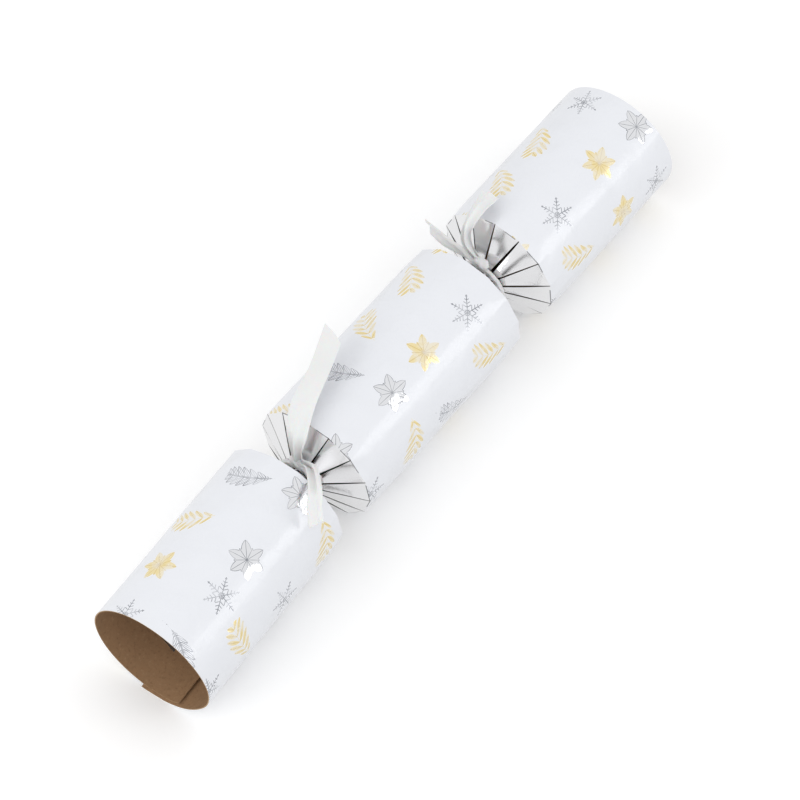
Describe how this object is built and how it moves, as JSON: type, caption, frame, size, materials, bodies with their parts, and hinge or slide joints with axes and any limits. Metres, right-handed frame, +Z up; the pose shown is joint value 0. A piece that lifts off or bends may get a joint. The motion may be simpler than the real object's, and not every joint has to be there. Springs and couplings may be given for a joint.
{
  "type": "christmas cracker",
  "caption": "Snap-pull party cracker: a lapped board tube pinched at two ribbon-tied necks of folded petals, with a snap strip, gift, hat and motto inside.",
  "frame": {"origin": "on the table, under the middle of the barrel: the centre of the flat pressed into the lapped seam", "axes": "+X along the tube towards the right end, +Z up from the table, +Y across, away from the side that the long left ribbon tail hangs on"},
  "size_m": [0.3003, 0.0599, 0.0592],
  "materials": {
    "printed_board": "gloss-coated white outside with foil, brown kraft inside",
    "seam_glue": "dried adhesive",
    "satin_ribbon": "white satin",
    "snap_card": "grey-brown uncoated card",
    "grit_patch": "rough",
    "compound_patch": "matt",
    "sleeve_paper": "uncoated",
    "hot_glue": "dried adhesive",
    "turned_wood": "red-stained, waxed",
    "spindle_wood": "plain beech",
    "hat_tissue": "green tissue",
    "motto_paper": "uncoated"
  },
  "bodies": {
    "barrel": {"barrel_board": "printed_board", "barrel_seam_glue": "seam_glue", "left_ribbon": "satin_ribbon", "right_ribbon": "satin_ribbon"},
    "left_end": {"left_end_board": "printed_board", "left_seam_glue": "seam_glue", "left_snap_card": "snap_card", "left_snap_glue": "hot_glue", "snap_grit": "grit_patch"},
    "right_end": {"right_end_board": "printed_board", "right_seam_glue": "seam_glue", "right_snap_card": "snap_card", "right_snap_glue": "hot_glue", "snap_sleeve": "sleeve_paper", "snap_compound": "compound_patch"},
    "gift": {"gift_top": "turned_wood", "gift_spindle": "spindle_wood"},
    "hat": {"paper_hat": "hat_tissue"},
    "motto": {"motto_slip": "motto_paper"}
  },
  "joints": [
    {"name": "left_pull", "type": "slide", "parent": "barrel", "child": "left_end", "axis": [-1, 0, 0], "range_m": [0, 0.095]},
    {"name": "right_pull", "type": "slide", "parent": "barrel", "child": "right_end", "axis": [1, 0, 0], "range_m": [0, 0.095]},
    {"name": "gift_slide", "type": "slide", "parent": "barrel", "child": "gift", "axis": [1, 0, 0], "range_m": [-0.008, 0.008]},
    {"name": "hat_slide", "type": "slide", "parent": "barrel", "child": "hat", "axis": [1, 0, 0], "range_m": [-0.004, 0.005]},
    {"name": "motto_slide", "type": "slide", "parent": "barrel", "child": "motto", "axis": [1, 0, 0], "range_m": [-0.005, 0.005]}
  ]
}
